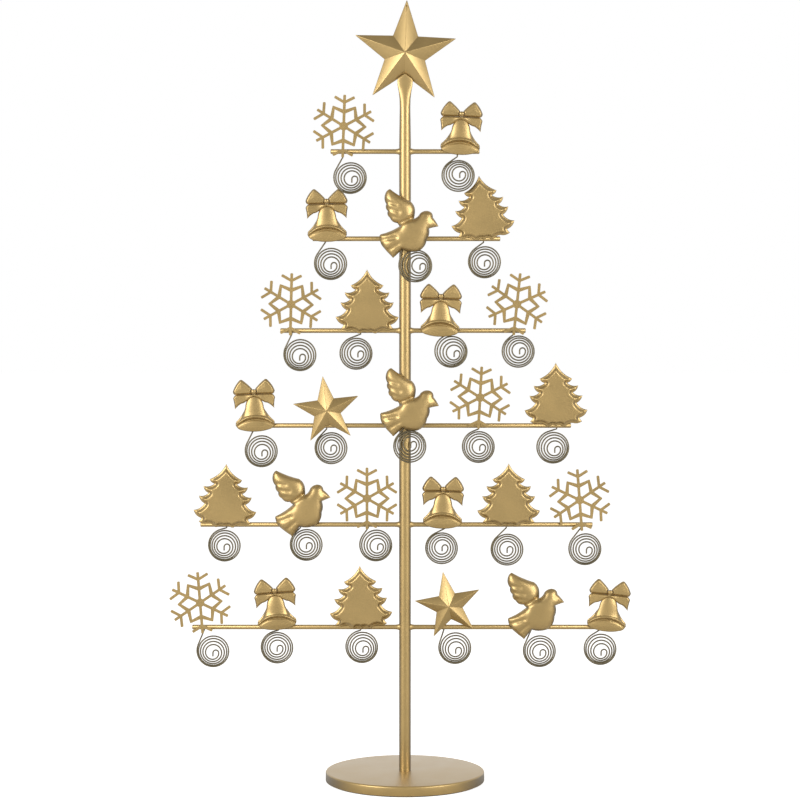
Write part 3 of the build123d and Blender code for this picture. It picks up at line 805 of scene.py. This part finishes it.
# Grooves: start, end, half width and depth, all in millimetres
dove_grooves = (
    ((3.4, 17.0), (-12.0, 7.0), 1.9, 3.4),
    ((-30.0, 27.0), (-17.0, 25.5), 1.5, 1.6),
    ((-27.0, 21.0), (-13.0, 19.0), 1.5, 1.6),
    ((-23.0, 14.0), (-10.0, 13.0), 1.5, 1.4),
    ((-26.0, -12.5), (-11.0, -6.5), 1.7, 1.9),
    ((-17.5, -21.5), (-7.0, -11.5), 1.7, 1.9),
    ((19.0, 17.5), (23.5, 12.5), 1.0, 1.2),
)


def groove_depth(x, z):
    """How far the grooves lower the sheet at a point."""
    total = 0.0
    for (x0, z0), (x1, z1), half, depth in dove_grooves:
        run = (x1 - x0, z1 - z0)
        along = ((x - x0) * run[0] + (z - z0) * run[1]) / (run[0] ** 2 + run[1] ** 2)
        along = min(max(along, 0.0), 1.0)
        away = hypot(x - x0 - run[0] * along, z - z0 - run[1] * along)
        total += depth * swell(away, half)
    return total


def inflate(bm, grain, fullness, rounds):
    """Blows a flat blank up like a pillow: a membrane under even pressure, then its root, which
    gives round sides."""
    inner = [v for v in bm.verts if not v.is_boundary]
    for _ in range(rounds):
        for v in inner:
            v.co.y -= grain * grain / 4
        bmesh.ops.smooth_vert(bm, verts=inner, factor=1.0, use_axis_y=True)
    for v in inner:
        v.co.y = -fullness * sqrt(max(0.0, -v.co.y))


pressed_dove = sheet_blank(dove_corners, dove_grain)
inflate(pressed_dove, dove_grain, dove_fullness, dove_rounds)
for v in pressed_dove.verts:
    v.co.y += groove_depth(v.co.x, v.co.z) * ease(-v.co.y / groove_fade) - dove_back_edge
dove_inside = [v for v in pressed_dove.verts if not v.is_boundary]
for _ in range(dove_smoothing):
    bmesh.ops.smooth_vert(pressed_dove, verts=dove_inside, factor=0.5, use_axis_y=True)
for number, (*place, back) in enumerate(dove_places, start=1):
    add_sheet(f"pressed_dove_{number}", pressed_dove, place, back, f"dove_{number}")
pressed_dove.free()


# Photo clips: one length of bronzed spring wire each. It is welded behind or under its rod, or to
# the pole, bends down at an elbow, winds inward over five turns and ends in a small hook.
def bronzed_wire():
    """Drawn steel wire with a bronze wash: grey brown, half bright, with drawing marks that are
    shown 1.5 mm apart, coarser than they are."""
    draw_mm = 1.5
    material, tree, shader = new_material("bronzed_steel_wire")
    place = add_node(tree, "ShaderNodeTexCoord").outputs["Object"]
    marks = add_node(
        tree, "ShaderNodeTexNoise", {"Vector": place, "Scale": 1 / (draw_mm * MM), "Detail": 2.0}
    )
    tone = add_node(tree, "ShaderNodeMix", {"Factor": marks.outputs["Fac"]}, data_type="RGBA")
    tone.inputs["A"].default_value = linear("#655D4B")
    tone.inputs["B"].default_value = linear("#7D745E")
    tree.links.new(tone.outputs["Result"], shader.inputs["Base Color"])
    shader.inputs["Metallic"].default_value = 0.85
    shader.inputs["Roughness"].default_value = 0.5
    return material


wire = bronzed_wire()
wire_radius, coil_radius, inner_radius, hook_radius, hook_tail = 0.74, 16.3, 5.9, 2.9, 3.6
coil_turns, turn_steps, widening = 5, 48, 1.3
# A clip's fixing: how far its stem lies behind the rods' middle line, how high the stem's top and
# how low its elbow lie there, and the tilt of the clip to the front
behind_rod = (3.2, 1.8, 3.6, 0.0)
before_pole = (-6.33, 1.8, 3.6, 0.0)
under_rod = (0.0, -2.5, 5.2, radians(12.0))
# For each tier and clip: place of the stem, place of the coil's middle and its depth under the
# rod, and how far the innermost turn lies to the right of and below the coil's middle
clip_places = (
    ((-61.5, -54.4, 26.4, 1.5, 1.6), (52.0, 52.9, 24.6, 1.3, -1.4)),
    ((-79.5, -74.0, 24.4, 0.1, 2.2), (-2.0, 10.2, 26.6, 4.5, 0.8), (78.3, 79.6, 22.8, -0.4, 1.5)),
    (
        (-113.1, -104.8, 23.9, -0.6, 2.8),
        (-44.3, -48.8, 22.8, 1.6, 0.6),
        (42.7, 46.0, 20.6, 3.0, 2.5),
        (108.9, 113.4, 20.8, 1.1, -0.5),
    ),
    (
        (-151.1, -143.8, 25.4, 0.3, 2.3),
        (-78.4, -73.8, 22.6, -0.5, 0.2),
        (-2.0, 5.0, 20.4, 0.6, -2.0),
        (73.8, 73.7, 21.3, 1.1, 0.9),
        (151.9, 148.3, 21.8, 1.7, 2.3),
    ),
    (
        (-179.0, -181.0, 21.1, -0.8, 1.9),
        (-105.0, -98.9, 20.4, -0.2, 1.2),
        (-36.8, -29.2, 20.9, 1.6, 1.8),
        (41.4, 37.0, 24.0, 0.2, -0.2),
        (101.7, 102.8, 25.3, -0.3, 0.2),
        (176.6, 180.9, 24.7, 1.3, 1.4),
    ),
    (
        (-202.1, -193.1, 24.5, -0.4, 2.3),
        (-127.2, -128.5, 21.0, -0.3, 1.0),
        (-44.5, -43.3, 20.4, 0.9, 2.6),
        (39.0, 50.4, 21.2, 0.6, 2.9),
        (126.9, 135.6, 24.4, 0.4, 2.0),
        (195.8, 196.7, 22.2, 0.7, 3.9),
    ),
)


def coil_points(stem_top, elbow_drop, middle_place, drop, shift):
    """Middle line of one clip in its plane, about the stem: (x, z) points in millimetres. The
    wire winds inward to the left from where it meets the outer turn, and ends in a hook."""
    elbow = Vector((0.0, -elbow_drop))
    middle = Vector((middle_place, -drop))
    reach = (elbow - middle).length
    touch = atan2(elbow.y - middle.y, elbow.x - middle.x) + acos(min(1.0, coil_radius / reach))
    points = [Vector((0.0, stem_top)), Vector((0.0, (stem_top - elbow_drop) / 2)), elbow]
    outer = middle + coil_radius * Vector((cos(touch), sin(touch)))
    points += [elbow.lerp(outer, share) for share in (0.33, 0.66)]
    turns = coil_turns - touch / (2 * pi)
    count = ceil(turns * turn_steps)
    for step in range(count + 1):
        share = step / count
        angle = touch + 2 * pi * turns * share
        radius = coil_radius - (coil_radius - inner_radius) * share**widening
        points.append(middle + shift * share + radius * Vector((cos(angle), sin(angle))))
    hook_middle = points[-1] - Vector((hook_radius, 0.0))
    hook_steps = turn_steps // 4
    for step in range(1, hook_steps + 1):
        angle = pi * step / hook_steps
        points.append(hook_middle + hook_radius * Vector((cos(angle), sin(angle))))
    tail = points[-1]
    return points + [tail - Vector((0.0, hook_tail * share)) for share in (0.5, 1.0)]


# The caps of a swept wire are joined to it where their points lie closer than this
cap_gap = 0.0005 * MM
clip_number = 0
for tier, places in enumerate(clip_places, start=1):
    for stem_place, middle_place, drop, shift_right, shift_down in places:
        clip_number += 1
        fixing = before_pole if abs(stem_place) < pole_radius / MM else behind_rod
        if tier == 1:
            fixing = under_rod
        back, stem_top, elbow_drop, tilt = fixing
        shift = Vector((shift_right, -shift_down))
        route = coil_points(stem_top, elbow_drop, middle_place - stem_place, drop, shift)
        curve = bpy.data.curves.new("clip_route", "CURVE")
        curve.dimensions = "3D"
        curve.bevel_depth = wire_radius * MM
        curve.bevel_resolution = 3
        curve.use_fill_caps = True
        spline = curve.splines.new("POLY")
        spline.points.add(len(route) - 1)
        for point, (x, z) in zip(spline.points, route):
            point.co = (
                (stem_place + x) * MM,
                (back + z * sin(tilt)) * MM,
                rod_heights[tier - 1] + z * cos(tilt) * MM,
                1.0,
            )
        sketch = bpy.data.objects.new("clip_route", curve)
        bpy.context.scene.collection.objects.link(sketch)
        view_layer_state = bpy.context.evaluated_depsgraph_get()
        mesh = bpy.data.meshes.new_from_object(sketch.evaluated_get(view_layer_state))
        bpy.data.objects.remove(sketch)
        bpy.data.curves.remove(curve)
        bm = bmesh.new()
        bm.from_mesh(mesh)
        bpy.data.meshes.remove(mesh)
        bmesh.ops.remove_doubles(bm, verts=bm.verts[:], dist=cap_gap)
        bmesh.ops.recalc_face_normals(bm, faces=bm.faces[:])
        add_piece(f"wire_clip_{clip_number}", bm, wire, "wire", "photo_clips", sharp=60)


# Studio: a pale paper floor that shows white to the camera and keeps a soft shadow, a white
# surround, and two large soft lamps at the left and the right of the camera.
scene = bpy.context.scene
scene.view_settings.view_transform = "Standard"

floor_half, floor_glow = 8.0, 0.72
floor_mesh = bpy.data.meshes.new("studio_floor")
bm = bmesh.new()
bmesh.ops.create_grid(bm, x_segments=1, y_segments=1, size=floor_half)
bm.to_mesh(floor_mesh)
bm.free()
floor = bpy.data.objects.new("studio_floor", floor_mesh)
scene.collection.objects.link(floor)
floor_paper = bpy.data.materials.new("studio_paper")
floor_paper.use_nodes = True
tree = floor_paper.node_tree
tree.nodes.clear()
rays = add_node(tree, "ShaderNodeLightPath")
matt = add_node(tree, "ShaderNodeBsdfDiffuse", {"Color": linear("#F2F1EF")})
glow = add_node(tree, "ShaderNodeEmission", {"Color": linear("#FFFFFF"), "Strength": floor_glow})
lit = add_node(tree, "ShaderNodeAddShader", {0: matt.outputs["BSDF"], 1: glow.outputs["Emission"]})
shown = add_node(
    tree,
    "ShaderNodeMixShader",
    {"Fac": rays.outputs["Is Camera Ray"], 1: matt.outputs["BSDF"], 2: lit.outputs["Shader"]},
)
add_node(tree, "ShaderNodeOutputMaterial", {"Surface": shown.outputs["Shader"]})
floor_mesh.materials.append(floor_paper)

# What the gloss of the metal mirrors is brighter behind the stand than before it, and darker
# overhead. What lights it from all sides is weaker, so that the lamps model the reliefs.
all_round_level = 0.35
world = bpy.data.worlds.new("studio_surround")
scene.world = world
world.use_nodes = True
tree = world.node_tree
tree.nodes.clear()
rays = add_node(tree, "ShaderNodeLightPath")
sight = add_node(tree, "ShaderNodeTexCoord")
direction = add_node(tree, "ShaderNodeSeparateXYZ", {"Vector": sight.outputs["Generated"]})
backdrop = add_node(
    tree,
    "ShaderNodeMapRange",
    {"Value": direction.outputs["Y"], "From Min": 0.0, "From Max": 0.7, "To Min": 0.7, "To Max": 1.15},
)
ceiling = add_node(
    tree,
    "ShaderNodeMapRange",
    {"Value": direction.outputs["Z"], "From Min": 0.1, "From Max": 0.9, "To Min": 1.0, "To Max": 0.55},
)
room = add_node(
    tree,
    "ShaderNodeMath",
    {0: backdrop.outputs["Result"], 1: ceiling.outputs["Result"]},
    operation="MULTIPLY",
)
reflected = add_node(
    tree,
    "ShaderNodeMix",
    {"Factor": rays.outputs["Is Glossy Ray"], "A": all_round_level, "B": room.outputs["Value"]},
)
straight = add_node(
    tree,
    "ShaderNodeMath",
    {0: rays.outputs["Is Camera Ray"], 1: rays.outputs["Is Transmission Ray"]},
    operation="MAXIMUM",
)
level = add_node(
    tree,
    "ShaderNodeMix",
    {"Factor": straight.outputs["Value"], "A": reflected.outputs["Result"], "B": 1.0},
)
sky = add_node(
    tree,
    "ShaderNodeBackground",
    {"Color": linear("#FFFFFF"), "Strength": level.outputs["Result"]},
)
add_node(tree, "ShaderNodeOutputWorld", {"Surface": sky.outputs["Background"]})

lamp_size, lamp_target = 1.2, Vector((0, 0, 0.4))
for name, place, watts in (
    ("left_soft_lamp", Vector((-1.6, -1.4, 1.0)), 34.0),
    ("right_soft_lamp", Vector((1.6, -1.4, 1.0)), 27.0),
):
    lamp = bpy.data.lights.new(name, "AREA")
    lamp.shape = "SQUARE"
    lamp.size = lamp_size
    lamp.energy = watts
    holder = bpy.data.objects.new(name, lamp)
    holder.location = place
    holder.rotation_euler = (lamp_target - place).to_track_quat("-Z", "Y").to_euler()
    scene.collection.objects.link(holder)


# Camera: 2.6 m in front of the stand, a little above its middle, tipped down by 3.5 degrees. It was
# fitted to the ellipse of the plate and to the heights of the rods.
camera_place, camera_tip, camera_lens, camera_sensor = (-0.005, -2.6, 0.545), 3.52, 117.24, 36.0
camera_data = bpy.data.cameras.new("camera")
camera_data.sensor_width = camera_sensor
camera_data.lens = camera_lens
camera = bpy.data.objects.new("camera", camera_data)
camera.location = camera_place
camera.rotation_euler = (radians(90 - camera_tip), 0, 0)
scene.collection.objects.link(camera)
scene.camera = camera
